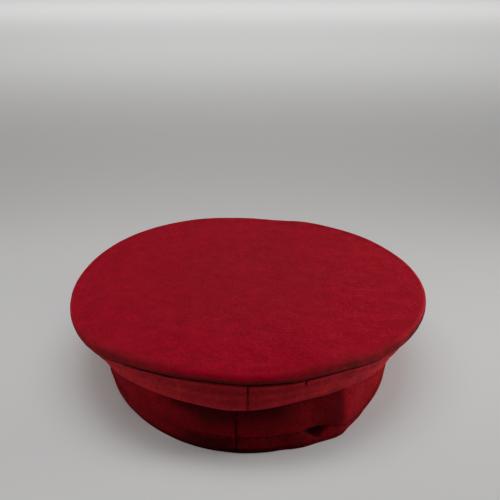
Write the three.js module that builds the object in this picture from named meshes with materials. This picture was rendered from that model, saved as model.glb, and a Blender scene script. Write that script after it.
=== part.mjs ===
// A soft captain's cap of red wool felt, lying on a table: a wide flat crown with a rolled rim, a side panel
// that turns under it in a soft fold, an oval headband with a turned-up hem, and a plain cloth-covered peak.
// Millimetres, +Z up. The back of the cap faces -Y and the peak faces +Y, so +X is its right from behind.
import * as THREE from "three";

// Headband.
const BAND_WIDTH = 170; // outside, across the ears
const BAND_LENGTH = 217; // outside, from back to front
const BAND_WALL = 2.4;
const BAND_EDGE = 0.6; // bevel of its lower edge
const BAND_SEAM_SHIFT = -6; // where its back seam lies, to the right of the middle of the back
const HEM_UP = 9; // line of the hem above the lower edge
const HEM_GROOVE = 0.6; // depth of that line
const HEM_GROOVE_HALF = 1; // half of its height
const FRONT_LIFT = 9; // the lower edge above the table, at the middle of the front

// Crown.
const CROWN_WALL = 2.2; // the disc and the side panel
const CROWN_CENTRE_UP = 47.5; // outside of the disc above the table, at its middle
const ROLL_RADIUS = 3.6; // rolled rim, outside
const SIDE_TOP_IN = 2.1; // top edge of the side panel, in from the widest line of the rim
const SIDE_TOP_DOWN = 3.5; // and below it
const SIDE_SEAM_SHIFT = 0; // where the back seam of the side panel lies
const FOLD_RADIUS = 2.5; // soft fold at the foot of the side panel, outside
const FOLD_RISE = 3; // from the lowest line of that fold up to the top edge of the headband
const LIP_OUT = 0.6; // how far past the headband the turned-under edge of the side panel starts to run level

// Peak.
const PEAK_REACH = 56; // degrees to either side of the front that it spans
const PEAK_PROJECTION = 46; // past the headband, at the middle of the front
const PEAK_CORNER = 1.5; // past the headband, at its corners
const PEAK_THICKNESS = 3;
const PEAK_ARCH = 2; // how much higher its outer edge is at the middle of the front than at its corners
const PEAK_HOLLOW = 1.3; // how strongly its slope flattens towards the outer edge, 1 for a straight slope

// Sewing, and how finely the surfaces are cut.
const SEAM_GAP = 0.3; // between pieces that are sewn together
const SLIT = 0.4; // between the two ends of a strip at its back seam
const STATIONS = 90; // sections around the cap
const PEAK_STATIONS = 32;
const DISC_RINGS = [0, 0.3, 0.6, 0.85]; // parts of the way from the middle of the disc to its rolled rim

const BACK = 0; // degrees round the cap, going by its right-hand side
const FRONT = 180;

// Sections of the crown, evenly spaced round the cap: how far the rim and the fold stand out past the
// headband, and the height of the widest line of the rim and of the lowest line of the fold.
const CROWN_SECTIONS = [
  { at: 0, rimOut: 4.5, rimUp: 45.5, foldOut: 7, foldUp: 29.5 },
  { at: 30, rimOut: 8.5, rimUp: 45, foldOut: 6.5, foldUp: 30 },
  { at: 60, rimOut: 17, rimUp: 42.5, foldOut: 6.5, foldUp: 24 },
  { at: 90, rimOut: 21.5, rimUp: 42, foldOut: 6.5, foldUp: 25 },
  { at: 120, rimOut: 17, rimUp: 42, foldOut: 7, foldUp: 27 },
  { at: 150, rimOut: 8.5, rimUp: 42, foldOut: 7, foldUp: 27.5 },
  { at: 180, rimOut: 4.5, rimUp: 41.5, foldOut: 7, foldUp: 28 },
  { at: 210, rimOut: 9, rimUp: 43.5, foldOut: 7.5, foldUp: 29 },
  { at: 240, rimOut: 18, rimUp: 43, foldOut: 7.5, foldUp: 28.5 },
  { at: 270, rimOut: 22, rimUp: 40.5, foldOut: 8, foldUp: 26 },
  { at: 300, rimOut: 19, rimUp: 40.5, foldOut: 8.5, foldUp: 25 },
  { at: 330, rimOut: 9, rimUp: 45.5, foldOut: 7, foldUp: 29 },
];

// Upright folds of the headband: how far each moves it out at its lower edge and at its top, and its
// half-width in degrees. The first is a dent and the second the corner beside it.
const BAND_FOLDS = [
  { at: 20, halfWidth: 9, lowOut: 2, topOut: -2 },
  { at: 35, halfWidth: 15, lowOut: 5, topOut: 1.5 },
];

const radians = THREE.MathUtils.degToRad;
const { lerp, euclideanModulo } = THREE.MathUtils;

// A smooth closed curve through one column of evenly spaced rows (a Catmull-Rom spline).
function column(rows, name) {
  const step = 360 / rows.length;
  return (angle) => {
    const along = euclideanModulo(angle, 360) / step;
    const row = Math.floor(along);
    const t = along - row;
    const [a, b, c, d] = [-1, 0, 1, 2].map((k) => rows[(row + k + rows.length) % rows.length][name]);
    return b + 0.5 * t * (c - a + t * (2 * a - 5 * b + 4 * c - d + t * (3 * (b - c) + d - a)));
  };
}

const rimOut = column(CROWN_SECTIONS, "rimOut");
const rimUp = column(CROWN_SECTIONS, "rimUp");
const foldOut = column(CROWN_SECTIONS, "foldOut");
const foldUp = column(CROWN_SECTIONS, "foldUp");

// Degrees from one direction round the cap to another, -180 to 180.
function turn(from, to) {
  return euclideanModulo(to - from + 180, 360) - 180;
}

// A point at an angle round the cap, some way out from the outside of the plain oval of the headband.
function place(angle, out, up) {
  const t = radians(angle);
  return new THREE.Vector3((BAND_WIDTH / 2 + out) * Math.sin(t), -(BAND_LENGTH / 2 + out) * Math.cos(t), up);
}

function bandTop(angle) {
  return foldUp(angle) + FOLD_RISE;
}

// Height of the lower edge of the headband. The peak under it lifts it off the table, so it is a peak's
// thickness up at the corners of the peak, and comes down to the table past them.
function hemEdge(angle) {
  const cornerPhase = Math.acos((PEAK_THICKNESS + SEAM_GAP) / FRONT_LIFT);
  const phase = (Math.abs(turn(FRONT, angle)) / PEAK_REACH) * cornerPhase;
  return FRONT_LIFT * Math.cos(Math.min(phase, Math.PI / 2));
}

// 1 in the middle of an upright fold, 0 from its half-width on.
function swell(angle, fold) {
  const away = Math.min(1, Math.abs(turn(fold.at, angle)) / fold.halfWidth);
  return Math.cos((away * Math.PI) / 2) ** 2;
}

// How far the upright folds move the wall of the headband out.
function bandShift(angle, up) {
  const height = up / bandTop(angle);
  const shift = (fold) => swell(angle, fold) * lerp(fold.lowOut, fold.topOut, height);
  return BAND_FOLDS.reduce((sum, fold) => sum + shift(fold), 0);
}

// Points of an arc in a section, where x is the distance out and y the height.
function arc(centre, radius, from, to, steps) {
  return Array.from({ length: steps + 1 }, (_, k) => {
    const a = radians(lerp(from, to, k / steps));
    return new THREE.Vector2(centre.x + radius * Math.cos(a), centre.y + radius * Math.sin(a));
  });
}

// The line some distance to the right of an open line, as one walks along it.
function offset(line, distance) {
  return line.map((p, k) => {
    const before = p.clone().sub(line[Math.max(0, k - 1)]).normalize();
    const after = line[Math.min(line.length - 1, k + 1)].clone().sub(p).normalize();
    const along = before.add(after).normalize();
    return new THREE.Vector2(p.x + along.y * distance, p.y - along.x * distance);
  });
}

// A closed body through closed sections of equal length. A ring joins its last section to its first, and a
// strip is capped at both ends. Faces that shrink to a line, as at the middle of the disc, are left out.
function loft(sections, isRing) {
  const points = sections.flat();
  const count = sections[0].length;
  const corners = [];
  const face = (...indices) => {
    const [p, q, r] = indices.map((k) => points[k]);
    if (!p.equals(q) && !q.equals(r) && !r.equals(p)) corners.push(p, q, r);
  };
  for (let i = 0; i < sections.length - (isRing ? 0 : 1); i++) {
    const here = i * count;
    const next = ((i + 1) % sections.length) * count;
    for (let k = 0; k < count; k++) {
      const l = (k + 1) % count;
      face(here + k, next + l, next + k);
      face(here + k, here + l, next + l);
    }
  }
  if (!isRing) {
    const end = points.length - count;
    for (const [a, b, c] of capOf(sections[0])) face(a, c, b);
    for (const [a, b, c] of capOf(sections.at(-1))) face(end + a, end + b, end + c);
  }
  return new THREE.BufferGeometry().setFromPoints(corners);
}

// Triangles across a flat section, turning the way its points run.
function capOf(section) {
  const origin = section[0];
  const spokes = section.map((p) => p.clone().sub(origin));
  const normal = new THREE.Vector3();
  spokes.forEach((spoke, k) => normal.add(spoke.clone().cross(spokes[(k + 1) % spokes.length])));
  normal.normalize();
  const across = spokes[1].clone().normalize();
  const other = normal.clone().cross(across);
  const flat = spokes.map((spoke) => new THREE.Vector2(spoke.dot(across), spoke.dot(other)));
  return THREE.ShapeUtils.triangulateShape(flat, []);
}

// Angles of the sections of a strip that runs once round the cap and ends in a slit at its back seam.
function stripAngles(seamShift) {
  const degreesPerMm = 360 / (Math.PI * BAND_WIDTH);
  const start = (seamShift + SLIT / 2) * degreesPerMm;
  const end = (seamShift - SLIT / 2) * degreesPerMm + 360;
  return Array.from({ length: STATIONS + 1 }, (_, k) => lerp(start, end, k / STATIONS));
}

// The flat top of the crown, whose edge is rolled over and down to the seam of the side panel.
function crownTop() {
  const tilt = (rimUp(BACK) - rimUp(FRONT)) / 2;
  const sections = Array.from({ length: STATIONS }, (_, k) => {
    const angle = (360 * k) / STATIONS;
    const roll = new THREE.Vector2(rimOut(angle) - ROLL_RADIUS, rimUp(angle));
    const edge = place(angle, roll.x, roll.y + ROLL_RADIUS);
    const disc = (part, depth) => {
      const lean = tilt * Math.cos(radians(angle)) * (part - part ** 2);
      const up = lerp(CROWN_CENTRE_UP, edge.z, part ** 2) + lean - depth;
      return new THREE.Vector3(edge.x * part, edge.y * part, up);
    };
    const outer = arc(roll, ROLL_RADIUS, 90, -60, 5);
    const inner = arc(roll, ROLL_RADIUS - CROWN_WALL, -60, 90, 3);
    return [
      ...DISC_RINGS.map((part) => disc(part, 0)),
      ...[...outer, ...inner].map((p) => place(angle, p.x, p.y)),
      ...DISC_RINGS.toReversed().map((part) => disc(part, CROWN_WALL)),
    ];
  });
  return loft(sections, true);
}

// The side panel, from under the rolled rim down and in to a soft fold, and back over the top of the band.
function crownSide() {
  const sections = stripAngles(SIDE_SEAM_SHIFT).map((angle) => {
    const top = new THREE.Vector2(rimOut(angle) - SIDE_TOP_IN, rimUp(angle) - SIDE_TOP_DOWN);
    const fold = new THREE.Vector2(foldOut(angle) - FOLD_RADIUS, foldUp(angle) + FOLD_RADIUS);
    const foot = arc(fold, FOLD_RADIUS, 20, -130, 4);
    const panel = [0, 1 / 3, 2 / 3].map((t) => top.clone().lerp(foot[0], t));
    const lipUp = bandTop(angle) + SEAM_GAP;
    const lip = [LIP_OUT, -BAND_WALL].map((out) => new THREE.Vector2(bandShift(angle, lipUp) + out, lipUp));
    const outer = [...panel, ...foot, ...lip];
    return [...outer, ...offset(outer, CROWN_WALL).toReversed()].map((p) => place(angle, p.x, p.y));
  });
  return loft(sections, false);
}

// The headband, with the line of its hem as a shallow groove.
function band() {
  const sections = stripAngles(BAND_SEAM_SHIFT).map((angle) => {
    const edge = hemEdge(angle);
    const top = bandTop(angle);
    const line = edge + HEM_UP;
    const section = [
      [0, top],
      [0, line + HEM_GROOVE_HALF],
      [-HEM_GROOVE, line],
      [0, line - HEM_GROOVE_HALF],
      [0, edge + BAND_EDGE],
      [-BAND_EDGE, edge],
      [-BAND_WALL + BAND_EDGE, edge],
      [-BAND_WALL, edge + BAND_EDGE],
      [-BAND_WALL, line],
      [-BAND_WALL, top],
    ];
    return section.map(([out, up]) => place(angle, out + bandShift(angle, up), up));
  });
  return loft(sections, false);
}

// The peak, under the lower edge of the headband. Its outer edge is half an oval from corner to corner.
function peak() {
  const corner = place(FRONT - PEAK_REACH, PEAK_CORNER, 0);
  const front = place(FRONT, PEAK_PROJECTION, 0);
  const sections = Array.from({ length: PEAK_STATIONS + 1 }, (_, k) => {
    const side = (2 * k) / PEAK_STATIONS - 1; // -1 and 1 at the corners, 0 at the middle of the front
    const angle = FRONT + side * PEAK_REACH;
    const phase = (side * Math.PI) / 2;
    const edge = new THREE.Vector3(
      -corner.x * Math.sin(phase),
      lerp(corner.y, front.y, Math.cos(phase)),
      PEAK_THICKNESS + PEAK_ARCH * Math.cos(phase) ** 2,
    );
    const root = place(angle, 0, hemEdge(angle) - SEAM_GAP);
    const slope = [0, 0.25, 0.5, 0.75, 1].map((t) =>
      root.clone().lerp(edge, t).setZ(lerp(root.z, edge.z, t ** PEAK_HOLLOW)),
    );
    const surface = [place(angle, -BAND_WALL, root.z), ...slope];
    const outward = edge.clone().sub(root).setZ(0).setLength(PEAK_THICKNESS / 2);
    const rounding = edge.clone().add(outward).setZ(edge.z - PEAK_THICKNESS / 2);
    const under = surface.map((p) => p.clone().setZ(p.z - PEAK_THICKNESS));
    return [...surface, rounding, ...under.toReversed()];
  });
  return loft(sections, false);
}

const CROWN_RED = 0x7e0f1c;
const BAND_RED = 0x560a14;
const pieces = [
  { name: "crown_top", shape: crownTop, colour: CROWN_RED },
  { name: "crown_side", shape: crownSide, colour: CROWN_RED },
  { name: "band", shape: band, colour: BAND_RED },
  { name: "peak", shape: peak, colour: CROWN_RED },
];

const cap = new THREE.Group();
for (const { name, shape, colour } of pieces) {
  const felt = new THREE.MeshStandardMaterial({ color: colour, roughness: 0.95, metalness: 0 });
  const mesh = new THREE.Mesh(shape(), felt);
  mesh.name = name;
  cap.add(mesh);
}

// The origin is on the table, below the middle of the cap's length and width.
const middle = new THREE.Box3().setFromObject(cap).getCenter(new THREE.Vector3());
cap.position.set(-middle.x, -middle.y, 0);

export default cap;
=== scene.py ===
"""The looks of a captain's cap of red wool felt that lies on a pale table.

Everything is in metres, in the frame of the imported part: +Z is up, the back of the cap faces -Y, and +X is
its right, seen from behind. Angles are in degrees round the cap: 0 is the middle of the back, 90 its right
and 180 its front. Out is how far a place is from the plain oval of the headband, and up is its height.
"""

import math
from collections import namedtuple

import bmesh
import bpy
import numpy as np
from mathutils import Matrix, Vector, noise


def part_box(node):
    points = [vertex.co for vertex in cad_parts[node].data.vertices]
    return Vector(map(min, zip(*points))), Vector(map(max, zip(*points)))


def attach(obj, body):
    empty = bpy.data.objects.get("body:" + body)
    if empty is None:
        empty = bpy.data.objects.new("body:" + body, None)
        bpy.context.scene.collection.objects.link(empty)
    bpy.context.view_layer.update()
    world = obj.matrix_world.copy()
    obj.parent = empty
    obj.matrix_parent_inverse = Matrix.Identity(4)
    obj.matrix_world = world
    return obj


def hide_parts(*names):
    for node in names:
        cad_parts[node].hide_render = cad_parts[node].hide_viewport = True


bl_info = {
    "name": "Captain's cap",
    "version": (1, 0, 0),
    "blender": (4, 5, 0),
    "location": "3D View > Sidebar > Cap",
    "description": "Models a captain's cap of red wool felt round its packed frame",
    "category": "Add Mesh",
}

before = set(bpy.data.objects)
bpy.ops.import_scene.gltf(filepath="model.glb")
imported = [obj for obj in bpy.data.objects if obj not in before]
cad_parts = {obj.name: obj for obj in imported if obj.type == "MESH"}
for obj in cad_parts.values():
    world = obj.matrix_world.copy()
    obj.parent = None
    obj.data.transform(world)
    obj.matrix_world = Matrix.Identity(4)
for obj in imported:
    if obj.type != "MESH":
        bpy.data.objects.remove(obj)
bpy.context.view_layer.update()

MM = 0.001
CAD_STEP = 4.0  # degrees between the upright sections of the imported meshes
BACK, FRONT = 0.0, 180.0
PINCH = 18.8  # where the side panel is pinched under the rim
CREASE = 34.5  # where the headband stands out beside its dent, which is left of it
POCKET = 24.3  # the deepest place of the pocket under the hem
BAND_SEAM = -math.degrees(6 / 85)  # the headband's back seam, 6 mm beside the side panel's

# The upright axis through the middle of the headband, and the plain oval of the headband's outside.
band_low, band_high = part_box("band")
AXIS = (band_low + band_high) / 2
HALF_WIDTH = (band_high.x - band_low.x) / 2
HALF_LENGTH = (band_high.y - band_low.y) / 2


# ------------------------------------------------------------------------------
# Places and lines round the cap
# ------------------------------------------------------------------------------


def place(angle, out, up):
    """Points at angles, distances out and heights."""
    turn = np.radians(angle)
    x = AXIS.x + (HALF_WIDTH + out) * np.sin(turn)
    y = AXIS.y - (HALF_LENGTH + out) * np.cos(turn)
    return np.stack(np.broadcast_arrays(x, y, up), axis=-1)


def cap_coordinates(points):
    """The angle, the distance out and the height of points, which place turns back into the points."""
    x, y = points[:, 0] - AXIS.x, points[:, 1] - AXIS.y
    out = np.zeros(len(points))
    for _ in range(12):  # each round brings the angle and the distance out closer to agreeing
        angle = np.degrees(np.arctan2(x / (HALF_WIDTH + out), -y / (HALF_LENGTH + out)))
        oval = place(angle, out, 0.0)
        out += np.hypot(x, y) - np.hypot(oval[:, 0] - AXIS.x, oval[:, 1] - AXIS.y)
    return angle, out, points[:, 2]


def vertex_array(mesh):
    """The places of a mesh's vertices."""
    points = np.empty(len(mesh.vertices) * 3, np.float32)
    mesh.vertices.foreach_get("co", points)
    return points.reshape(-1, 3).astype(float)


def closed_curve(values):
    """A smooth closed curve, as a function of the angle, through values CAD_STEP degrees apart."""

    def curve(angle):
        along = np.mod(angle, 360.0) / CAD_STEP
        row = np.floor(along).astype(int)
        t = along - row
        a, b, c, d = (values[(row + k) % len(values)] for k in (-1, 0, 1, 2))
        return b + 0.5 * t * (c - a + t * (2 * a - 5 * b + 4 * c - d + t * (3 * (b - c) + d - a)))

    return curve


def line_round(node, rate):
    """Curves of out and up through the vertex of each CAD section that rate(out, up) puts highest."""
    points = vertex_array(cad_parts[node].data)
    from_axis = np.hypot(points[:, 0] - AXIS.x, points[:, 1] - AXIS.y)
    angle, out, up = cap_coordinates(points[from_axis > HALF_WIDTH / 2])
    section = np.round(angle / CAD_STEP).astype(int) % round(360 / CAD_STEP)
    order = np.lexsort((rate(out, up), section))
    best = order[np.append(np.diff(section[order]) > 0, True)]
    return closed_curve(out[best]), closed_curve(up[best])


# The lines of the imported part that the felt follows: the widest of the rim, the lowest of the fold, and the
# headband's outer top edge, outer foot edge and foot.
rim_out, rim_up = line_round("crown_top", lambda out, up: out)
fold_out, fold_up = line_round("crown_side", lambda out, up: -up)
band_top_out, band_top_up = line_round("band", lambda out, up: up + out / 10)
band_low_out, _ = line_round("band", lambda out, up: 2 * out - up)
_, band_low_up = line_round("band", lambda out, up: -up)


def apart(angle, middle):
    """How far angles are from the middle one, in degrees."""
    return np.abs(np.mod(angle - middle + 180.0, 360.0) - 180.0)


def bump(away, half_width):
    """1 where away is 0, falling smoothly to 0 at a half-width."""
    return np.cos(np.minimum(np.abs(away) / half_width, 1.0) * math.pi / 2) ** 2


def window(angle, middle, half_width):
    """1 at the middle, falling smoothly to 0 from a half-width away on, all in degrees round the cap."""
    return bump(apart(angle, middle), half_width)


Window = namedtuple("Window", "height middle half_width")


def windows(angle, table):
    """The sum of a table's windows, each as high at its middle as its row says."""
    return sum(row.height * window(angle, row.middle, row.half_width) for row in table)


def smooth_step(value, start, end):
    """0 on the start's side and 1 on the end's, with a smooth change between; either may be the higher."""
    t = np.clip((value - start) / (end - start), 0.0, 1.0)
    return t * t * (3 - 2 * t)


def arc(centre_out, centre_up, radius, start, end, steps):
    """Out and up of points along an arc in each section, from start to end in degrees above level."""
    turn = np.radians(np.linspace(start, end, steps + 1))
    return centre_out[:, None] + radius * np.cos(turn), centre_up[:, None] + radius * np.sin(turn)


def stations(*close_at):
    """Angles of the sections: a degree apart, and closer in the stretches (start, end, step)."""
    angles = [np.arange(0.0, 360.0, 1.0)]
    angles += [np.mod(np.arange(start, end, step), 360.0) for start, end, step in close_at]
    return np.unique(np.round(np.concatenate(angles), 3))


def cleft(angle, middle, width):
    """A cleft, as a share of its depth: sharp at the middle, and gone a few widths away, in degrees."""
    return np.exp(-apart(angle, middle) / width)


def unevenness(points, size):
    """Smooth noise from -1 to 1 at points, whose swellings are about that size."""
    flat = points.reshape(-1, 3) / size
    return np.array([noise.noise(Vector(p)) for p in flat]).reshape(points.shape[:-1])


# ------------------------------------------------------------------------------
# Meshes
# ------------------------------------------------------------------------------


def closed_mesh(name, sections):
    """A closed mesh through closed sections, given as an array of sections by points by coordinates."""
    number = np.arange(sections.shape[0] * sections.shape[1]).reshape(sections.shape[:2])
    along, ahead = np.roll(number, -1, axis=1), np.roll(number, -1, axis=0)
    faces = np.stack([number, along, np.roll(along, -1, axis=0), ahead], axis=-1).reshape(-1, 4)
    mesh = bpy.data.meshes.new(name)
    mesh.from_pydata(sections.reshape(-1, 3).tolist(), [], faces.tolist())
    return mesh


def weld(mesh):
    """Joins vertices that lie on each other and takes out the faces that this leaves without area."""
    work = bmesh.new()
    work.from_mesh(mesh)
    bmesh.ops.remove_doubles(work, verts=work.verts, dist=0.001 * MM)
    bmesh.ops.dissolve_degenerate(work, edges=work.edges, dist=0.001 * MM)
    work.to_mesh(mesh)
    work.free()


def raise_nap(mesh, nap):
    """Moves the felt along its normals by the uneven swellings of the nap, a list of (size, height)."""
    points = vertex_array(mesh)
    normals = np.empty(len(mesh.vertices) * 3, np.float32)
    mesh.vertex_normals.foreach_get("vector", normals)
    height = sum(depth * unevenness(points, size) for size, depth in nap)
    moved = points + normals.reshape(-1, 3) * height[:, None]
    mesh.vertices.foreach_set("co", moved.ravel().astype(np.float32))
    mesh.update()


PATCH_SIZES = (6 * MM, 2.5 * MM)  # the sizes of the patches in which dark places are uneven


def set_shade(mesh, shade):
    """Stores how dark the felt is painted at each vertex, from 0 to 1, for the material to read: mostly
    painted shade.
    """
    points = vertex_array(mesh)
    patch = sum(0.7 * unevenness(points, size) for size in PATCH_SIZES)
    dark = shade(*cap_coordinates(points), patch)
    values = mesh.attributes.new("shade", "FLOAT", "POINT").data
    values.foreach_set("value", np.clip(dark, 0.0, 1.0).astype(np.float32))


def add_piece(mesh, material, node):
    """Puts a finished mesh in the scene as a piece, which stands for the CAD node if one is given."""
    mesh.materials.append(material)
    mesh.polygons.foreach_set("use_smooth", [True] * len(mesh.polygons))
    piece = bpy.data.objects.new(mesh.name, mesh)
    bpy.context.scene.collection.objects.link(piece)
    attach(piece, "root")
    if node:
        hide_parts(node)


# ------------------------------------------------------------------------------
# The crown
# ------------------------------------------------------------------------------

Swelling = namedtuple("Swelling", "size height")

# The unevenness of the felt.
NAP = [
    Swelling(26 * MM, 0.16 * MM),
    Swelling(9 * MM, 0.08 * MM),
    Swelling(3.2 * MM, 0.045 * MM),
]

# How much higher, and further out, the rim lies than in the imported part, in millimetres.
RIM_LIFTS = [
    Window(0.5, -14.0, 16.0),
    Window(0.4, -44.0, 12.0),
    Window(1.1, 28.0, 15.0),
    Window(-0.9, 166.0, 15.0),
]
RIM_BULGES = [
    Window(0.5, -2.0, 3.0),
    Window(0.6, 78.0, 34.0),
]
ROLL_TOP, ROLL_END = 90.0, -70.0  # where the rolled rim starts and ends, in degrees above level


def rim_level(angles):
    """Height of the widest line of the rim, which lies a little unevenly."""
    return rim_up(angles) + windows(angles, RIM_LIFTS) * MM


def roll_height(angles, sizes):
    """Height of the rolled rim over its widest line: it is pressed down at the back."""
    return sizes.roll - sizes.pressed * np.sqrt(window(angles, -8.0, 62.0))


def rolled(angles, out, up, sizes):
    """Outside of the rolled rim, from its top down to its seam: squared, but round where it is rubbed."""
    turn = np.radians(np.linspace(ROLL_TOP, ROLL_END, 25))
    worn_round = window(angles, 42.0, 30.0)
    power = 2 / (2 + sizes.square * (1 - worn_round))[:, None]
    power = np.where(np.sin(turn) > 0, power, 1.0)
    across = np.abs(np.cos(turn)) ** power
    above = np.sign(np.sin(turn)) * np.abs(np.sin(turn)) ** power
    height = np.where(above > 0, roll_height(angles, sizes)[:, None], sizes.roll)
    return out[:, None] + sizes.roll * across, up[:, None] + height * above


def roll_inside(angles, out, up, sizes):
    """Inside of the rolled rim, from its seam up to its top, where it is pressed down with the outside."""
    inner_out, inner_up = arc(out, up, sizes.roll - sizes.felt, ROLL_END, ROLL_TOP, 8)
    squash = (roll_height(angles, sizes) - sizes.felt)[:, None] / (sizes.roll - sizes.felt)
    above = inner_up - up[:, None]
    return inner_out, np.where(above > 0, up[:, None] + above * squash, inner_up)


def disc_height():
    """Height of the outside of the disc at its middle."""
    points = vertex_array(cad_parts["crown_top"].data)
    from_axis = np.hypot(points[:, 0] - AXIS.x, points[:, 1] - AXIS.y)
    return points[from_axis < 5 * MM][:, 2].max()


def crown_top_sections(angles, sizes):
    """Sections of the disc and its rolled rim: outside from the middle to the seam, and back inside."""
    out = rim_out(angles) - sizes.roll + windows(angles, RIM_BULGES) * MM
    up = rim_level(angles)
    edge = place(angles, out, rim_up(angles) + sizes.roll)
    dip = (up + roll_height(angles, sizes) - edge[:, 2])[:, None]
    ridge = 0.35 * MM * window(angles, 5.0, 18.0)[:, None]
    middle = np.array([AXIS.x, AXIS.y, disc_height()])
    tilt = (rim_up(BACK) - rim_up(FRONT)) / 2 * np.cos(np.radians(angles))[:, None]

    def disc(parts, depth):
        """Points at parts of the way from the middle to the edge, with a low ridge before the rim."""
        points = middle + (edge[:, None] - middle) * parts[None, :, None]
        dome = (edge[:, None, 2] - middle[2]) * parts**2
        points[..., 2] = middle[2] + dome + tilt * (parts - parts**2) - depth
        points[..., 2] += ridge * bump(parts - 0.955, 0.04) + dip * smooth_step(parts, 0.7, 1.0)
        return points

    outside = place(angles[:, None], *rolled(angles, out, up, sizes))
    inside = place(angles[:, None], *roll_inside(angles, out, up, sizes))
    rings = 1 - np.linspace(1.0, 0.0, 57)[:-1] ** 1.25  # closer together towards the rim
    return np.concatenate([disc(rings, 0.0), outside, inside, disc(rings[::-3], sizes.felt)], axis=1)


# How far the fold of the side panel hangs down, in millimetres.
FOLD_SAGS = [
    Window(0.9, -5.0, 14.0),
    Window(-0.9, 17.0, 13.0),
]


def wall_inside(out, up, thickness):
    """The inside line of a wall whose outside line runs down, in each section."""
    ahead = np.stack([np.diff(out, axis=1), np.diff(up, axis=1)])
    ahead /= np.hypot(*ahead)
    along = np.concatenate([ahead[:, :, :1], ahead[:, :, :-1] + ahead[:, :, 1:], ahead[:, :, -1:]], axis=2)
    along /= np.hypot(*along)
    return out + along[1] * thickness, up - along[0] * thickness


def panel_swelling(angles, t, sizes):
    """How far the side panel swells out, or in where negative, at parts t of its way down."""
    height = sizes.wave + 0.25 * MM * window(angles, -27.0, 22.0)
    return height[:, None] * np.sqrt(np.sin(math.pi * t)) * np.sin(2 * math.pi * (t - 0.38) / 0.53)


def side_panel_sections(angles, sizes):
    """Sections of the side panel: outside from under the rim round the fold, and back inside."""
    top_out = (rim_out(angles) - sizes.seam_in)[:, None]
    top_up = (rim_level(angles) - sizes.seam_down)[:, None]
    fold_middle = fold_up(angles) - windows(angles, FOLD_SAGS) * MM + sizes.fold
    foot_out, foot_up = arc(fold_out(angles), fold_middle, sizes.fold, 20.0, -130.0, 14)

    # The panel runs down from its top edge to the fold, drawn in by the back seam and by the pinch.
    seam = (cleft(angles, BACK, 0.3) - 0.12 * window(angles, BACK, 2.6))[:, None]
    t = np.linspace(0.0, 1.0, 27)[:-1]
    pinch = cleft(angles, PINCH, 0.3)[:, None] * bump(t, 0.22)
    panel_out = top_out + (foot_out[:, :1] - top_out) * t + panel_swelling(angles, t, sizes)
    panel_out = panel_out - 1.5 * MM * seam * (1 - 0.55 * t) - 1.3 * MM * pinch
    panel_up = top_up + (foot_up[:, :1] - top_up) * t
    foot_out = foot_out - 0.7 * MM * seam

    # Under the rim its edge is tucked in, and at its foot a lip reaches in over the top of the headband.
    tuck = top_out - 0.6 * MM, top_up + 0.2 * MM
    lip_out = band_top_out(angles)[:, None] + np.array([0.6 * MM, -sizes.band])
    lip_up = np.broadcast_to((band_top_up(angles) + sizes.gap)[:, None], lip_out.shape)
    parts = tuck, (panel_out, panel_up), (foot_out, foot_up), (lip_out, lip_up)
    outer = [np.concatenate(lines, axis=1) for lines in zip(*parts)]
    inner = wall_inside(*outer, sizes.felt)
    both = [np.concatenate([a, b[:, ::-1]], axis=1) for a, b in zip(outer, inner)]
    return place(angles[:, None], *both)


# ------------------------------------------------------------------------------
# The headband
# ------------------------------------------------------------------------------

HemRow = namedtuple("HemRow", "below out")

# Profile of the hem, in millimetres: how far below its stitched line, and how far out from the wall.
HEM = [
    HemRow(-3.0, 0.0),
    HemRow(-1.8, 0.1),
    HemRow(-1.0, 0.25),
    HemRow(-0.5, 0.1),
    HemRow(-0.15, -0.45),
    HemRow(0.05, -0.7),
    HemRow(0.3, -0.55),
    HemRow(0.6, -0.1),
    HemRow(1.0, 0.2),
    HemRow(1.6, 0.35),
    HemRow(2.3, 0.35),
    HemRow(3.0, 0.25),
    HemRow(3.7, 0.2),
    HemRow(4.4, 0.15),
    HemRow(5.1, 0.1),
    HemRow(5.8, 0.05),
    HemRow(6.5, 0.0),
]
FOOT_OUT = -0.1 * MM  # how far out the foot is from the wall: it is drawn in a little
FOOT_RADIUS = 0.9 * MM  # how round the edges of the foot are
HEM_PITCH = 3.5  # degrees from a stitch of the hem to the next, 5.5 mm

# How far the headband stands out at the sides of the back, in millimetres.
FLANKS = [
    Window(1.1, -72.0, 36.0),
    Window(0.5, 72.0, 36.0),
]


def hem_height(angles, sizes):
    """Height of the stitched line above the foot, which rises over the pocket and falls past the crease."""
    return sizes.hem * (1 - 0.64 * window(angles, 47.0, 23.0)) + 1.2 * MM * window(angles, POCKET, 9.0)


def stitch_share(angles):
    """1 where a stitch of the hem draws the felt in, and 0 between the stitches."""
    return 0.5 + 0.5 * np.cos(2 * math.pi * angles / HEM_PITCH)


def hem_strength(angles):
    """How far the line of the hem shows, from 0 to 1: it is pressed flatter at both sides of the back."""
    return 1 - 0.75 * window(angles, -44.0, 30.0) - 0.3 * window(angles, 48.0, 20.0)


def fold_shadow(angles):
    """1 where the fold of the side panel hangs well over the headband, round the middle of the back."""
    here = np.mod(angles + 180.0, 360.0) - 180.0
    return smooth_step(here, -31.0, -24.0) * smooth_step(here, 37.0, 30.0)


def pocket_depth(angles, below, sizes):
    """How far in the pocket goes, at depths below the stitched line: it is wider on its left."""
    is_left = np.mod(angles - POCKET + 180.0, 360.0) < 180.0
    share = np.where(is_left, window(angles, POCKET, 6.2), window(angles, POCKET, 4.2))[:, None]
    height = 6.4 * MM * (0.25 + 0.75 * share)
    opening = smooth_step(below, 0.0, 0.8 * MM) * (1 - smooth_step(below, 0.72 * height, height))
    return sizes.pocket * np.sqrt(share) * opening


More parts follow.
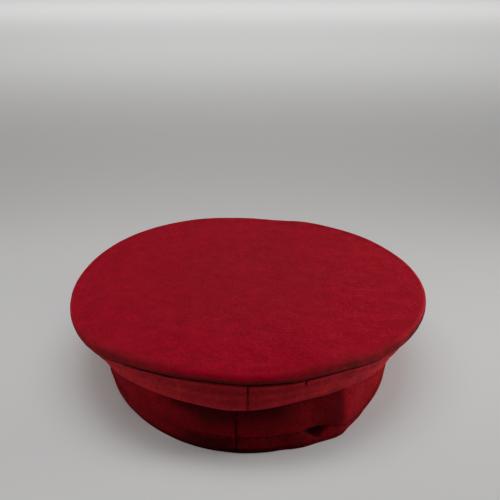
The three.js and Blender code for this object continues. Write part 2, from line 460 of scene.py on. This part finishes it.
def band_out(angles, up, sizes):
    """Distance out of the headband's outside, at heights up."""
    low, top = band_low_up(angles)[:, None], band_top_up(angles)[:, None]
    fold = fold_up(angles)[:, None]
    above = up - low
    share = above / (top - low)
    plain = band_low_out(angles)[:, None] * (1 - share) + band_top_out(angles)[:, None] * share

    # The ridge of the crease, rounded over 1.2 degrees, and the felt drawn in at its foot.
    away = np.hypot(apart(angles, CREASE), 1.2) - 1.2
    crease = 1.15 * MM * np.exp(-away / 3.6)[:, None]
    crease_foot = 2.5 * MM * window(angles, 37.5, 9.5)[:, None] * smooth_step(above, 11.0 * MM, 0.0)

    # The felt stands out at the back's foot and at the sides, and goes in under the fold and in the seam.
    flare = 1.3 * MM * window(angles, -4.0, 40.0)[:, None] * smooth_step(above, 7.0 * MM, 0.0)
    flank = windows(angles, FLANKS)[:, None] * MM * smooth_step(above, top - low, fold - low)
    flank = flank * smooth_step(above, 0.0, 8.0 * MM)
    recess = sizes.recess * (0.3 + 0.7 * fold_shadow(angles))[:, None]
    recess = recess * smooth_step(fold - up, 8.5 * MM, 3.0 * MM)
    seam = cleft(angles, BAND_SEAM, 0.3) - 0.15 * window(angles, BAND_SEAM - 1.8, 1.8)
    seam = 1.4 * MM * seam[:, None] * smooth_step(above, 0.0, 2.5 * MM)
    return plain + crease + flank + flare - crease_foot - recess - seam


def hem_profile(angles, height, sizes):
    """Depths below the stitched line of the rows of the hem, and how far out from the wall they are."""
    below = np.array([row.below for row in HEM]) * MM
    below = np.where(below > 0, below * np.minimum(height / sizes.hem, 1.0), below)
    out = np.array([row.out for row in HEM]) * MM
    groove = (hem_strength(angles) * (0.75 + 0.5 * stitch_share(angles)))[:, None]
    out = np.where(below < 0.5 * MM, out * groove, out)
    return below, out - pocket_depth(angles, below, sizes)


def band_sections(angles, sizes):
    """Sections of the headband: outside from its top edge to its foot, and back up inside."""
    low, top = band_low_up(angles)[:, None], band_top_up(angles)[:, None]
    height = hem_height(angles, sizes)[:, None]
    below, hem_out = hem_profile(angles, height, sizes)
    line_up = low + height - below
    wall_up = top + (line_up[:, :1] - top) * np.linspace(0.0, 1.0, 15)[:-1]
    turn = np.radians(np.linspace(0.0, -90.0, 5))
    foot_out = FOOT_OUT + FOOT_RADIUS * (np.cos(turn) - 1)
    foot_up = low + FOOT_RADIUS + FOOT_RADIUS * np.sin(turn)
    back_out = -sizes.band - foot_out[::-1] + 2 * FOOT_OUT
    t = np.linspace(0.0, 1.0, 12)[1:]
    inside_up = low + FOOT_RADIUS + (top - low - FOOT_RADIUS) * t
    inside_out = -sizes.band - 0.8 * pocket_depth(angles, low + height - inside_up, sizes)
    inside_out = inside_out + FOOT_OUT * (1 - smooth_step(t, 0.0, 0.25))
    foot_out, back_out = (np.broadcast_to(line, foot_up.shape) for line in (foot_out, back_out))
    out = np.concatenate([np.zeros_like(wall_up), hem_out, foot_out, back_out, inside_out], axis=1)
    up = np.concatenate([wall_up, line_up, foot_up, foot_up[:, ::-1], inside_up], axis=1)
    return place(angles[:, None], out + band_out(angles, up, sizes), up)


# ------------------------------------------------------------------------------
# Painted shade and wear on the felt
# ------------------------------------------------------------------------------


# How much fainter the painted shade in the seam under the rim is at the sides of the back.
FAINT_RIM_SEAM = [
    Window(0.6, 60.0, 34.0),
    Window(0.55, -56.0, 32.0),
]
# How much painted shade darkens the whole height of the headband at both sides of its back seam.
SHADED_BAND = [
    Window(0.22, -16.0, 14.0),
    Window(0.16, 15.0, 13.0),
]
DARKEST_WALL = 0.84  # the most that the wall of the headband is darkened where its dark places meet


def darkest(*places):
    """The darkness of whichever place is darkest at each point."""
    return np.maximum.reduce(np.broadcast_arrays(*places))


# Each function below says how dark the felt is painted at points, from 0 to 1: painted shade and shadow, and
# on the rim's edge also wear. Its patch is how uneven the felt is there, from about -1 to 1.


def crown_top_shade(angle, out, up, patch):
    """Painted shade in the seam and painted shadow under the rim, painted shade on the rim's flanks, wear and
    painted shade on its edge, and a little in the middle of the disc.
    """
    inward, below = rim_out(angle) - out, rim_level(angle) - up
    # Painted shade in the seam under the rim.
    seam = 0.9 * smooth_step(below, 2.2 * MM, 3.3 * MM) * bump(inward, 4 * MM)
    # Painted shadow under the rim, round the back.
    at_back = smooth_step(angle, -70.0, -45.0) * smooth_step(angle, 45.0, 28.0)
    shadow = 0.85 * at_back * smooth_step(below, -1.6 * MM, 2.2 * MM) * bump(inward, 5 * MM)
    # Wear and painted shade on the rim's edge, right and left of the back.
    worn_and_shaded = 0.68 * np.sqrt(window(angle, 43.0, 37.0)) + 0.55 * np.sqrt(window(angle, -46.0, 25.0))
    edge = worn_and_shaded * smooth_step(below, -4.6 * MM, -0.8 * MM) * smooth_step(inward, 7.0 * MM, 1.5 * MM)
    # Painted shade on the rim's flanks at the sides, darker on the right.
    at_sides = smooth_step(np.abs(angle), 42.0, 62.0) * smooth_step(np.abs(angle), 140.0, 110.0)
    line = np.where(angle > 0, 0.9, 0.6) * at_sides * smooth_step(below, -3.6 * MM, -1.0 * MM)
    middle = 0.1 * smooth_step(inward, 25.0 * MM, 75.0 * MM)
    return darkest(seam, shadow, middle, darkest(line, edge) * (1 + 0.4 * patch))


def side_panel_shade(angle, out, up, patch):
    """Painted shade in the seam under the rim, in the back seam and in the pinch, and over the right of the
    back and the foot of its fold.
    """
    below = rim_level(angle) - up
    # Painted shade in the seam under the rim.
    rim_seam = 0.9 - windows(angle, FAINT_RIM_SEAM) + 0.3 * patch
    rim_seam = rim_seam * (1 - smooth_step(below, 3.6 * MM, 5.2 * MM))
    # Painted shade in the back seam and in the pinch.
    back_seam = 0.45 * cleft(angle, BACK, 0.4)
    pinch = bump(apart(angle, PINCH), 0.9) * (1 - smooth_step(below, 5.6 * MM, 7.0 * MM))
    # Painted shade over the right of the back, and at the foot of the fold there.
    right_shade = 0.3 * window(angle, 38.0, 30.0) * (1 + patch)
    fold = 0.3 * window(angle, 24.0, 20.0) * smooth_step(up - fold_up(angle), 4.5 * MM, 1.5 * MM)
    return darkest(rim_seam, back_seam, pinch, right_shade + fold)


def fold_shade(angle, up, patch):
    """The shadow under the fold, crisp at its edge and long in the middle of the back, and in the dent."""
    left, down = smooth_step(angle, 12.0, -14.0), fold_up(angle) - up
    depth = (8.0 + 3.0 * left) * MM
    crisp = (0.6 + 0.26 * left) * fold_shadow(angle) * smooth_step(down, depth, 0.35 * depth)
    middle = smooth_step(angle, -22.0, -14.0) * smooth_step(angle, 23.0, 8.0)
    long = 0.84 * middle * np.clip((19 * MM - down) / (15 * MM), 0.0, 1.0)
    in_dent = smooth_step(angle, 19.0, 29.0) * smooth_step(angle, CREASE + 1.2, CREASE - 1.2)
    dent = 0.4 * in_dent * smooth_step(up, 6.0 * MM, 11.0 * MM)
    return darkest(crisp, long, dent) * (1 + 0.25 * patch)


def pocket_shade(angle, out, up, below, patch, sizes):
    """Painted shade inside the pocket under the hem, and patchy painted shade round it."""
    depth = band_out(angle, up[:, None], sizes)[:, 0] - out
    inside = smooth_step(depth, 0.3 * MM, 1.3 * MM) * bump(below - 3.0 * MM, 7.0 * MM)
    halo = 0.75 * window(angle, POCKET - 1.0, 6.0) * bump(below - 2.0 * MM, 3.6 * MM)
    return darkest(inside, halo * (1 + 0.5 * patch))


def band_shade(angle, out, up, patch):
    """Painted shade in the back seam, in the line of the hem, in and round the pocket and over the wall, and
    painted shadow along the foot.
    """
    sizes = bpy.context.scene.cap_sizes
    below = band_low_up(angle) + hem_height(angle, sizes) - up
    # Painted shade in the back seam and in the line of the hem, darker at each stitch.
    seam = 0.85 * cleft(angle, BAND_SEAM, 0.65)
    hem = hem_strength(angle) * (0.45 + 0.5 * stitch_share(angle)) * bump(below - 0.1 * MM, 1.4 * MM)
    # Painted shadow along the foot.
    foot = np.sqrt(window(angle, -5.0, 56.0)) * smooth_step(up, 3.7 * MM, 2.3 * MM)
    pocket = pocket_shade(angle, out, up, below, patch, sizes)
    # Painted shade over the wall: under the hem, left of the crease, low on the facet and beside the back
    # seam, with the painted shadow of the fold.
    strip = window(angle, -10.0, 27.0) * (0.58 + 0.5 * patch) * smooth_step(below, 0.4 * MM, 1.5 * MM)
    right_strip = 0.22 * window(angle, 17.0, 16.0) * smooth_step(below, 0.0, 1.5 * MM)
    left_of_crease = smooth_step(angle, -150.0, -110.0) * smooth_step(angle, CREASE + 2.5, CREASE - 1.5)
    low = 0.14 * window(angle, 47.0, 17.0) * smooth_step(up, 14.0 * MM, 5.0 * MM)
    wall = strip + right_strip + 0.12 * left_of_crease + low + windows(angle, SHADED_BAND)
    wall = np.minimum(wall + fold_shade(angle, up, patch), DARKEST_WALL)
    return darkest(seam, foot, hem, pocket, wall)


# ------------------------------------------------------------------------------
# Stitches
# ------------------------------------------------------------------------------


HEM_THREAD, SEAM_THREAD = 0.28 * MM, 0.26 * MM  # the radius of the thread


def stitch_mesh(name, starts, ends, outward, radius):
    """One mesh of short stitches, each bowed outward from its start to its end and sunk in at both."""
    around, steps = 8, 6
    t = np.linspace(0.0, 1.0, steps)
    along = (ends - starts)[:, None]
    bow = radius * (1.6 * np.sin(math.pi * t) - 0.8)  # as far out in its middle as it is sunk at its ends
    lift = outward[:, None] * bow[:, None]
    middle = starts[:, None] + along * t[:, None] + lift
    side = np.cross(outward, ends - starts)
    side = (side / np.linalg.norm(side, axis=1, keepdims=True))[:, None, None]
    turn = np.linspace(0.0, 2 * math.pi, around, endpoint=False)
    ring = np.cos(turn)[:, None] * side + np.sin(turn)[:, None] * outward[:, None, None]
    thick = radius * np.sqrt(np.sin(math.pi * (0.08 + 0.84 * t)))  # thinner towards both ends
    points = middle[:, :, None] + thick[:, None, None] * ring
    faces = []
    for stitch in range(len(starts)):
        first = stitch * steps * around
        for step in range(steps - 1):
            for k in range(around):
                a, b = first + step * around + k, first + step * around + (k + 1) % around
                faces.append((a, a + around, b + around, b))
        faces.append(tuple(first + k for k in range(around)))
        faces.append(tuple(first + steps * around - 1 - k for k in range(around)))
    mesh = bpy.data.meshes.new(name)
    mesh.from_pydata(points.reshape(-1, 3).tolist(), [], faces)
    return mesh


def outward_at(angles):
    """Level directions that point straight out of the cap."""
    ahead = place(angles + 0.5, 0.0, 0.0) - place(angles - 0.5, 0.0, 0.0)
    out = np.stack([ahead[:, 1], -ahead[:, 0], np.zeros(len(angles))], axis=1)
    return out / np.linalg.norm(out, axis=1, keepdims=True)


def hem_stitches(sizes):
    """Running stitches in the line of the hem, from the left of the back seam to the pocket."""
    angles = HEM_PITCH * np.arange(-6, 6)
    half = 0.28 * HEM_PITCH
    groove = 0.55 * MM  # how deep the stitched line lies
    ends = []
    for angle in (angles - half, angles + half):
        up = band_low_up(angle) + hem_height(angle, sizes)
        out = band_out(angle, up[:, None], sizes)[:, 0] - groove
        ends.append(place(angle, out, up))
    return stitch_mesh("hem_stitches", *ends, outward_at(angles), HEM_THREAD)


def band_seam_stitches(sizes):
    """Short stitches across the back seam of the headband, 3.6 mm apart and a little slanted."""
    up = np.arange(3.2 * MM, 25 * MM, 3.6 * MM)
    ends = []
    for side in (-0.55, 0.55):  # degrees beside the seam, and millimetres down or up
        angle = np.full(len(up), BAND_SEAM + side)
        out = band_out(angle, up[:, None], sizes)[:, 0]
        ends.append(place(angle, out, up + side * MM))
    return stitch_mesh("band_seam_stitches", *ends, outward_at(np.full(len(up), BAND_SEAM)), SEAM_THREAD)


def rim_stitches():
    """Short slanted stitches across the seam under the rim, on the left and the right of the back."""
    angles = np.concatenate([np.arange(-41.0, -25.0, 2.8), np.arange(25.0, 34.0, 3.0)])
    ends = []
    for lean, inward, below in ((-0.2, 2.0, 3.1), (0.2, 1.9, 4.7)):
        angle = angles + lean
        ends.append(place(angle, rim_out(angle) - inward * MM, rim_level(angle) - below * MM))
    return stitch_mesh("rim_stitches", *ends, outward_at(angles), SEAM_THREAD)


# ------------------------------------------------------------------------------
# The peak
# ------------------------------------------------------------------------------


def peak_mesh():
    """The plain peak: a copy of its CAD mesh with flat faces joined and its edges rounded."""
    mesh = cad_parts["peak"].data.copy()
    mesh.name = "peak_felt"
    mesh.materials.clear()
    weld(mesh)
    work = bmesh.new()
    work.from_mesh(mesh)
    bmesh.ops.dissolve_limit(work, angle_limit=math.radians(1.0), verts=work.verts, edges=work.edges)
    sharp = [edge for edge in work.edges if edge.calc_face_angle(0.0) > math.radians(40.0)]
    bmesh.ops.bevel(
        work,
        geom=sharp,
        offset=1.1 * MM,
        offset_type="OFFSET",
        segments=4,
        profile=0.5,
        affect="EDGES",
        clamp_overlap=True,
    )
    work.to_mesh(mesh)
    work.free()
    return mesh


# ------------------------------------------------------------------------------
# Materials
# ------------------------------------------------------------------------------


def linear(code):
    """A linear colour from an sRGB hex code such as "7e0f1c"."""
    parts = [int(code[k : k + 2], 16) / 255 for k in (0, 2, 4)]
    return tuple(p / 12.92 if p <= 0.04045 else ((p + 0.055) / 1.055) ** 2.4 for p in parts)


def add_node(tree, kind, inputs=None, **settings):
    """Adds a node with its settings, and sets or links its inputs."""
    node = tree.nodes.new(kind)
    for name, value in settings.items():
        setattr(node, name, value)
    for name, value in (inputs or {}).items():
        if isinstance(value, bpy.types.NodeSocket):
            tree.links.new(value, node.inputs[name])
        else:
            node.inputs[name].default_value = value
    return node


NAP_PATCH = 8 * MM  # the size of a patch of nap whose hairs lie one way
HAIR_CLUMP = 1.4 * MM  # hairs of 0.03 mm are too fine to show, so they are drawn in clumps of this size


def felt_material(name, deep, light, worn_and_shaded, contrast):
    """Wool felt, milled and brushed: a matt nap, mottled as its hairs lie, and mixed towards a dark colour
    where the mesh holds painted shade and wear.
    """
    material = bpy.data.materials.new(name)
    material.use_nodes = True
    tree = material.node_tree
    tree.nodes.clear()
    where = add_node(tree, "ShaderNodeTexCoord").outputs["Object"]
    patches = add_node(
        tree,
        "ShaderNodeTexNoise",
        {"Vector": where, "Scale": 1 / NAP_PATCH, "Detail": 2.0},
    )
    hairs = add_node(
        tree,
        "ShaderNodeTexNoise",
        {"Vector": where, "Scale": 1 / HAIR_CLUMP, "Detail": 2.0, "Roughness": 0.7},
    )
    # How the hairs lie, in which clumps count twice: share is 0 where they stand and 1 where they lie flat.
    both = add_node(
        tree,
        "ShaderNodeMath",
        {0: hairs.outputs["Fac"], 1: 2.0, 2: patches.outputs["Fac"]},
        operation="MULTIPLY_ADD",
    )
    share = add_node(
        tree,
        "ShaderNodeMapRange",
        {"Value": both.outputs[0], "From Min": 1.5 - 0.5 / contrast, "From Max": 1.5 + 0.5 / contrast},
    )
    nap = add_node(
        tree,
        "ShaderNodeMix",
        {0: share.outputs[0], 6: (*deep, 1), 7: (*light, 1)},
        data_type="RGBA",
    )
    # The shade stored on the mesh: mostly painted shade and shadow, and wear on the rim's edge.
    shade = add_node(tree, "ShaderNodeAttribute", attribute_name="shade").outputs["Fac"]
    colour = add_node(
        tree,
        "ShaderNodeMix",
        {0: shade, 6: nap.outputs[2], 7: (*worn_and_shaded, 1)},
        data_type="RGBA",
    )
    grain = add_node(
        tree,
        "ShaderNodeBump",
        {"Height": hairs.outputs["Fac"], "Strength": 0.6, "Distance": 0.3 * MM},
    )
    felt = add_node(
        tree,
        "ShaderNodeBsdfPrincipled",
        {
            "Base Color": colour.outputs[2],
            "Roughness": 1.0,
            "Specular IOR Level": 0.04,
            "Sheen Weight": 0.12,
            "Sheen Roughness": 0.5,
            "Sheen Tint": (*light, 1.0),
            "Normal": grain.outputs["Normal"],
        },
    )
    add_node(tree, "ShaderNodeOutputMaterial", {"Surface": felt.outputs[0]})
    return material


def plain_material(name, colour, roughness, shine):
    """A material of one colour all over, for threads and for the table."""
    material = bpy.data.materials.new(name)
    material.use_nodes = True
    surface = material.node_tree.nodes["Principled BSDF"]
    surface.inputs["Base Color"].default_value = (*colour, 1.0)
    surface.inputs["Roughness"].default_value = roughness
    surface.inputs["Specular IOR Level"].default_value = shine
    return material


def thread_material(colour):
    """Waxed cotton thread, spun: dark and dull, with a little more shine than the felt."""
    return plain_material("waxed_cotton_thread", colour, 0.8, 0.1)


def table_material(colour):
    """Board, painted matt: pale and even, with a faint wide shine."""
    return plain_material("matt_painted_board", colour, 0.9, 0.5)


# ------------------------------------------------------------------------------
# The stage
# ------------------------------------------------------------------------------

Lamp = namedtuple("Lamp", "name power size location target spread", defaults=[180.0])

# Lamps in watts, metres and degrees. The one overhead gives the light from above. The two at the sides have
# narrow beams, which model the walls of the headband and leave no edge on the table. The front one is on the
# camera's side and lights the back of the cap. The rest are far off and keep the table pale on every side.
LAMPS = [
    Lamp("overhead", 1.95, (0.5, 0.2), (0.0, 0.0, 0.5), (0.0, 0.0, 0.0)),
    Lamp("right", 0.4, (0.3, 0.06), (0.6, 0.0, 0.1), (0.0, -0.04, 0.03), 45.0),
    Lamp("left", 0.17, (0.3, 0.06), (-0.6, 0.0, 0.1), (0.0, -0.04, 0.03), 45.0),
    Lamp("front", 1.8, (0.6, 0.3), (0.0, -0.8, 0.35), (0.0, -0.1, 0.03)),
    Lamp("far_low", 17.0, (2.0, 0.3), (0.0, 1.9, 0.45), (0.0, 1.9, 0.0)),
    Lamp("beyond_right", 14.0, (2.6, 3.0), (2.05, 0.0, 0.35), (2.05, 0.0, 0.0)),
    Lamp("beyond_left", 14.0, (2.6, 3.0), (-2.05, 0.0, 0.35), (-2.05, 0.0, 0.0)),
    Lamp("beyond_back", 12.0, (3.0, 2.6), (0.0, -2.25, 0.35), (0.0, -2.25, 0.0)),
    Lamp("far_middle", 4.7, (1.2, 0.3), (0.0, 1.1, 0.5), (0.0, 1.1, 0.0)),
    Lamp("corner_right", 12.0, (2.3, 2.3), (2.75, 2.75, 0.35), (2.75, 2.75, 0.0)),
    Lamp("corner_left", 12.0, (2.3, 2.3), (-2.75, 2.75, 0.35), (-2.75, 2.75, 0.0)),
    Lamp("corner_back_right", 12.0, (2.3, 2.3), (2.75, -2.75, 0.35), (2.75, -2.75, 0.0)),
    Lamp("corner_back_left", 12.0, (2.3, 2.3), (-2.75, -2.75, 0.35), (-2.75, -2.75, 0.0)),
]
FLOOR_HALF = 4.0  # from the middle of the table to its sides
CAMERA_ASIDE, CAMERA_BEHIND = 1.05 * MM, 444.3 * MM  # how far it is to the right of the axis, and behind it
CAMERA_HEIGHT = 255.3 * MM
CAMERA_PITCH = 23.03  # how far it looks down, in degrees


def add_floor(scene):
    """The pale table, round the origin."""
    corners = [(x * FLOOR_HALF, y * FLOOR_HALF, 0) for x, y in ((-1, -1), (1, -1), (1, 1), (-1, 1))]
    mesh = bpy.data.meshes.new("floor")
    mesh.from_pydata(corners, [], [(0, 1, 2, 3)])
    mesh.materials.append(table_material(scene.cap_colours.floor))
    floor = bpy.data.objects.new("floor", mesh)
    scene.collection.objects.link(floor)


def add_light(scene, settings):
    """A soft rectangular lamp that faces its target."""
    lamp = bpy.data.lights.new(settings.name, "AREA")
    lamp.shape, lamp.size, lamp.size_y = "RECTANGLE", *settings.size
    lamp.energy = settings.power
    lamp.spread = math.radians(settings.spread)
    light = bpy.data.objects.new(settings.name, lamp)
    light.location = settings.location
    ahead = Vector(settings.target) - Vector(settings.location)
    light.rotation_euler = ahead.to_track_quat("-Z", "Y").to_euler()
    light.visible_camera = False
    scene.collection.objects.link(light)


def add_studio(scene):
    """The studio round the table: dim as a light, so that the lamps model the cap, but pale to look at."""
    world = bpy.data.worlds.new("studio")
    world.use_nodes = True
    tree = world.node_tree
    tree.nodes.clear()
    white = 1.0, 1.0, 1.0, 1.0
    seen = add_node(tree, "ShaderNodeLightPath").outputs["Is Camera Ray"]
    dim = add_node(tree, "ShaderNodeBackground", {"Color": white, "Strength": 0.03}).outputs[0]
    pale = add_node(tree, "ShaderNodeBackground", {"Color": white, "Strength": 0.3}).outputs[0]
    both = add_node(tree, "ShaderNodeMixShader", {0: seen, 1: dim, 2: pale})
    add_node(tree, "ShaderNodeOutputWorld", {"Surface": both.outputs[0]})
    scene.world = world


def add_camera(scene):
    """The camera, behind the cap and a little above it."""
    camera = bpy.data.cameras.new("camera")
    camera.lens, camera.sensor_width = 57.6, 36.0
    view = bpy.data.objects.new("camera", camera)
    view.location = (AXIS.x + CAMERA_ASIDE, AXIS.y - CAMERA_BEHIND, CAMERA_HEIGHT)
    view.rotation_euler = (math.radians(90.0 - CAMERA_PITCH), 0.0, 0.0)
    scene.collection.objects.link(view)
    scene.camera = view


# ------------------------------------------------------------------------------
# Sizes and colours
# ------------------------------------------------------------------------------


def length(name, description, default):
    """A length that a user may change."""
    return bpy.props.FloatProperty(
        name=name, description=description, default=default, unit="LENGTH", subtype="DISTANCE", precision=5
    )


def colour(name, description, code):
    """A colour that a user may change, given as an sRGB hex code."""
    return bpy.props.FloatVectorProperty(
        name=name, description=description, default=linear(code), subtype="COLOR", min=0.0, max=1.0
    )


class CapSizes(bpy.types.PropertyGroup):
    """Sizes of the felt and of its rolls, folds and seams."""

    felt: length("Felt", "Thickness of the felt of the crown", 2.2 * MM)
    band: length("Headband felt", "Thickness of the headband", 2.4 * MM)
    roll: length("Rolled rim", "Outside radius of the rolled rim", 3.6 * MM)
    square: bpy.props.FloatProperty(
        name="Squareness", description="How square the rolled rim is; 0 is round", default=1.2, min=0.0
    )
    pressed: length("Pressed rim", "How far the rolled rim is pressed down at the back", 1.2 * MM)
    seam_in: length("Seam in", "Top edge of the side panel, in from the widest line of the rim", 2.1 * MM)
    seam_down: length("Seam down", "Top edge of the side panel, below the widest line of the rim", 3.8 * MM)
    wave: length("Panel wave", "Height of the soft swellings along the side panel", 0.55 * MM)
    fold: length("Fold", "Outside radius of the fold at the foot of the side panel", 2.5 * MM)
    gap: length("Gap", "Gap between pieces that are sewn together", 0.3 * MM)
    recess: length("Recess", "How far in the headband is just under the fold", 2.2 * MM)
    hem: length("Hem", "Height of the line of the hem above the foot of the headband", 9.0 * MM)
    pocket: length("Pocket", "Depth of the pocket under the hem, in the dent", 4.4 * MM)


class CapColours(bpy.types.PropertyGroup):
    """Colours of the felt, the thread and the table."""

    deep: colour("Deep red", "Where the hairs of the nap stand up", "6c0d1b")
    light: colour("Light red", "Where the hairs of the nap lie flat", "8c1226")
    # The side panel is a paler, pinker copy of the crown's felt: painted light on its upright wall.
    lit_side_deep: colour("Deep side red", "Where the hairs of the side panel stand up", "66151f")
    lit_side_light: colour("Light side red", "Where the hairs of the side panel lie flat", "842028")
    # The painted shade and shadow of the side panel and the headband mix them towards this colour.
    worn_and_shaded: colour("Worn red", "Where the nap is worn or lies in a seam", "240608")
    # The crown's top is mixed towards this colour by the painted shade in its seam, the painted shadow under
    # its rim, and the wear and painted shade on its edge.
    edge: colour("Worn edge", "Where the nap of the rim is worn", "2a1411")
    band_deep: colour("Deep headband red", "Where the hairs of the headband stand up", "490810")
    band_light: colour("Light headband red", "Where the hairs of the headband lie flat", "6c0a17")
    thread: colour("Thread", "The thread of the stitches", "22060a")
    floor: colour("Floor", "The pale table", "d8d6d4")


# ------------------------------------------------------------------------------
# Operators
# ------------------------------------------------------------------------------


class CAP_OT_crown(bpy.types.Operator):
    """Model the flat top of the crown with its rolled rim, and the side panel with its fold"""

    bl_idname = "cap.crown"
    bl_label = "Crown"

    def execute(self, context):
        sizes, colours = context.scene.cap_sizes, context.scene.cap_colours
        top_felt = felt_material("brushed_wool_felt", colours.deep, colours.light, colours.edge, 1.0)
        # The side panel's felt is the crown's felt with painted light: paler and pinker.
        lit_side_colours = colours.lit_side_deep, colours.lit_side_light, colours.worn_and_shaded
        side_felt = felt_material("lit_side_wool_felt", *lit_side_colours, 0.9)
        top = closed_mesh("crown_top_felt", crown_top_sections(stations((-6.0, 4.0, 0.25)), sizes))
        weld(top)
        raise_nap(top, NAP)
        set_shade(top, crown_top_shade)
        add_piece(top, top_felt, "crown_top")
        angles = stations((-3.0, 3.0, 0.15), (PINCH - 1.5, PINCH + 1.5, 0.15))
        side = closed_mesh("crown_side_felt", side_panel_sections(angles, sizes))
        raise_nap(side, NAP)
        set_shade(side, side_panel_shade)
        add_piece(side, side_felt, "crown_side")
        return {"FINISHED"}


class CAP_OT_band(bpy.types.Operator):
    """Model the headband with its hem, its back seam, and the dent beside the crease"""

    bl_idname = "cap.band"
    bl_label = "Headband"

    def execute(self, context):
        sizes, colours = context.scene.cap_sizes, context.scene.cap_colours
        band_colours = colours.band_deep, colours.band_light, colours.worn_and_shaded
        felt = felt_material("headband_wool_felt", *band_colours, 1.15)
        at_seam = BAND_SEAM - 2.0, BAND_SEAM + 2.0, 0.15
        angles = stations((-28.0, 15.0, 0.5), at_seam, (15.0, 40.0, 0.25))
        band = closed_mesh("band_felt", band_sections(angles, sizes))
        raise_nap(band, NAP)
        set_shade(band, band_shade)
        add_piece(band, felt, "band")
        return {"FINISHED"}


class CAP_OT_stitches(bpy.types.Operator):
    """Model the stitches of the hem, of the back seam of the headband, and under the rim"""

    bl_idname = "cap.stitches"
    bl_label = "Stitches"

    def execute(self, context):
        sizes, thread = context.scene.cap_sizes, thread_material(context.scene.cap_colours.thread)
        add_piece(hem_stitches(sizes), thread, None)
        add_piece(band_seam_stitches(sizes), thread, None)
        add_piece(rim_stitches(), thread, None)
        return {"FINISHED"}


class CAP_OT_peak(bpy.types.Operator):
    """Model the plain peak"""

    bl_idname = "cap.peak"
    bl_label = "Peak"

    def execute(self, context):
        colours = context.scene.cap_colours
        felt = felt_material("peak_wool_felt", colours.deep, colours.light, colours.worn_and_shaded, 1.1)
        add_piece(peak_mesh(), felt, "peak")
        return {"FINISHED"}


class CAP_OT_stage(bpy.types.Operator):
    """Set up the pale table, the soft lights and the camera"""

    bl_idname = "cap.stage"
    bl_label = "Stage"

    def execute(self, context):
        add_floor(context.scene)
        for lamp in LAMPS:
            add_light(context.scene, lamp)
        add_studio(context.scene)
        add_camera(context.scene)
        return {"FINISHED"}


class CAP_PT_panel(bpy.types.Panel):
    """Lists the pieces of the cap"""

    bl_idname = "CAP_PT_panel"
    bl_label = "Captain's cap"
    bl_space_type = "VIEW_3D"
    bl_region_type = "UI"
    bl_category = "Cap"

    def draw(self, context):
        for operator in OPERATORS:
            self.layout.operator(operator.bl_idname)
        for group in (context.scene.cap_sizes, context.scene.cap_colours):
            for name in group.__annotations__:
                self.layout.prop(group, name)


OPERATORS = (CAP_OT_crown, CAP_OT_band, CAP_OT_stitches, CAP_OT_peak, CAP_OT_stage)
CLASSES = (CapSizes, CapColours, *OPERATORS, CAP_PT_panel)


def register():
    for each in CLASSES:
        bpy.utils.register_class(each)
    bpy.types.Scene.cap_sizes = bpy.props.PointerProperty(type=CapSizes)
    bpy.types.Scene.cap_colours = bpy.props.PointerProperty(type=CapColours)


def unregister():
    del bpy.types.Scene.cap_sizes, bpy.types.Scene.cap_colours
    for each in reversed(CLASSES):
        bpy.utils.unregister_class(each)


def main():
    """Models each piece in turn."""
    register()
    for operator in OPERATORS:
        getattr(bpy.ops.cap, operator.bl_idname.split(".")[1])()


if __name__ == "__main__":
    main()
